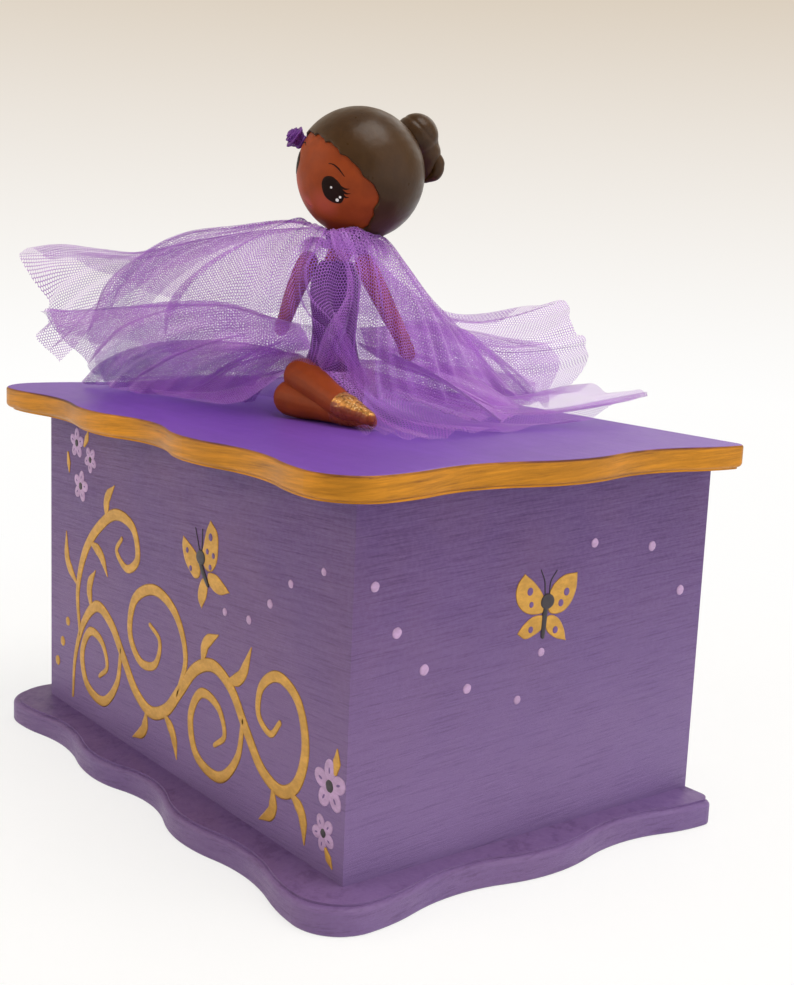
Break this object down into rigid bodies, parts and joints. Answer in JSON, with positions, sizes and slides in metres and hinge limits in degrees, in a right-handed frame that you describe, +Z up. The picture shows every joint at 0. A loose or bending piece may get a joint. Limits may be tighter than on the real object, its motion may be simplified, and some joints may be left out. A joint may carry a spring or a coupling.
{
  "type": "ballerina jewellery box",
  "caption": "Wooden jewellery box with scalloped base and hinged lid, a seated ballerina doll in a net skirt on the lid and a key-wound music movement inside.",
  "frame": {"origin": "middle of the wall plan on the underside of the base board", "axes": "+X right along the front, front faces -Y, hinges at +Y, +Z up"},
  "size_m": [0.2312, 0.1833, 0.2336],
  "materials": {
    "painted_wood": "brushed acrylic paint, satin",
    "felt": "short pile felt",
    "brass": "satin",
    "steel": "fine ground",
    "cast_metal": "lacquered casting",
    "skin_clay": "modelling clay, soft sheen",
    "hair_clay": "modelling clay, satin",
    "purple_clay": "modelling clay, matte",
    "gold_clay": "painted gold over clay",
    "net": "stiff hexagonal net"
  },
  "bodies": {
    "box": {"back_panel": "painted_wood", "base_board": "painted_wood", "bedplate_screws": "steel", "comb": "steel", "comb_block": "brass", "comb_screws": "steel", "cover_ledges": "painted_wood", "divider_panel": "painted_wood", "floor_felt": "felt", "front_panel": "painted_wood", "governor_bracket": "brass", "hinge_box_screws": "brass", "hinge_left_box_leaf": "brass", "hinge_left_pin": "brass", "hinge_right_box_leaf": "brass", "hinge_right_pin": "brass", "key_bush": "brass", "left_panel": "painted_wood", "movement_bedplate": "cast_metal", "movement_cover": "painted_wood", "movement_front_plate": "brass", "movement_rear_plate": "brass", "right_panel": "painted_wood", "stop_wire_guides": "brass"},
    "lid": {"doll_bodice": "purple_clay", "doll_hair": "hair_clay", "doll_head": "skin_clay", "doll_left_arm": "skin_clay", "doll_left_leg": "skin_clay", "doll_neck": "skin_clay", "doll_right_arm": "skin_clay", "doll_right_leg": "skin_clay", "hair_bun": "hair_clay", "hair_curl": "hair_clay", "hair_flower": "purple_clay", "hinge_left_lid_leaf": "brass", "hinge_lid_screws": "brass", "hinge_right_lid_leaf": "brass", "left_slipper": "gold_clay", "lid_board": "painted_wood", "lid_felt": "felt", "neck_choker": "purple_clay", "neck_pin": "steel", "right_slipper": "gold_clay", "skirt_front_fall": "net", "skirt_middle_layer": "net", "skirt_top_layer": "net", "skirt_under_layer": "net"},
    "barrel": {"spring_barrel": "brass", "barrel_cap": "brass", "mainspring": "steel"},
    "key": {"winding_arbor": "steel", "winding_key": "brass"},
    "cylinder": {"music_cylinder": "brass", "cylinder_arbor": "steel", "cylinder_wheel": "brass"},
    "governor": {"governor_arbor": "steel", "worm_wheel": "brass"},
    "fly": {"fly_worm": "steel"},
    "stop": {"stop_wire": "steel"}
  },
  "joints": [
    {"name": "lid_hinge", "type": "hinge", "parent": "box", "child": "lid", "pos_m": [0, 0.0743, 0.1223], "axis": [-1, 0, 0], "range_deg": [0, 100]},
    {"name": "key_wind", "type": "hinge", "parent": "box", "child": "key", "pos_m": [-0.018, 0.08, 0.032], "axis": [0, 1, 0], "range_deg": [0, 2610]},
    {"name": "fly_spin", "type": "hinge", "parent": "box", "child": "fly", "pos_m": [0.0173, 0.0315, 0.04], "axis": [0, 0, 1], "continuous": true},
    {"name": "governor_turn", "type": "hinge", "parent": "box", "child": "governor", "pos_m": [0.00943, 0.03, 0.04167], "axis": [0, 1, 0], "continuous": true},
    {"name": "cylinder_turn", "type": "hinge", "parent": "box", "child": "cylinder", "pos_m": [0.00132, 0.04, 0.032], "axis": [0, 1, 0], "continuous": true},
    {"name": "barrel_turn", "type": "hinge", "parent": "box", "child": "barrel", "pos_m": [-0.018, 0.04, 0.032], "axis": [0, 1, 0], "continuous": true},
    {"name": "stop_lift", "type": "slide", "parent": "box", "child": "stop", "axis": [0, 0, 1], "range_m": [0, 0.003]}
  ],
  "couplings": [
    {"joint": "governor_turn", "follows": "fly_spin", "ratio": 0.041667},
    {"joint": "cylinder_turn", "follows": "fly_spin", "ratio": -0.010417},
    {"joint": "barrel_turn", "follows": "fly_spin", "ratio": 0.0034722},
    {"joint": "stop_lift", "follows": "lid_hinge", "m_per_rad": 0.0017}
  ]
}
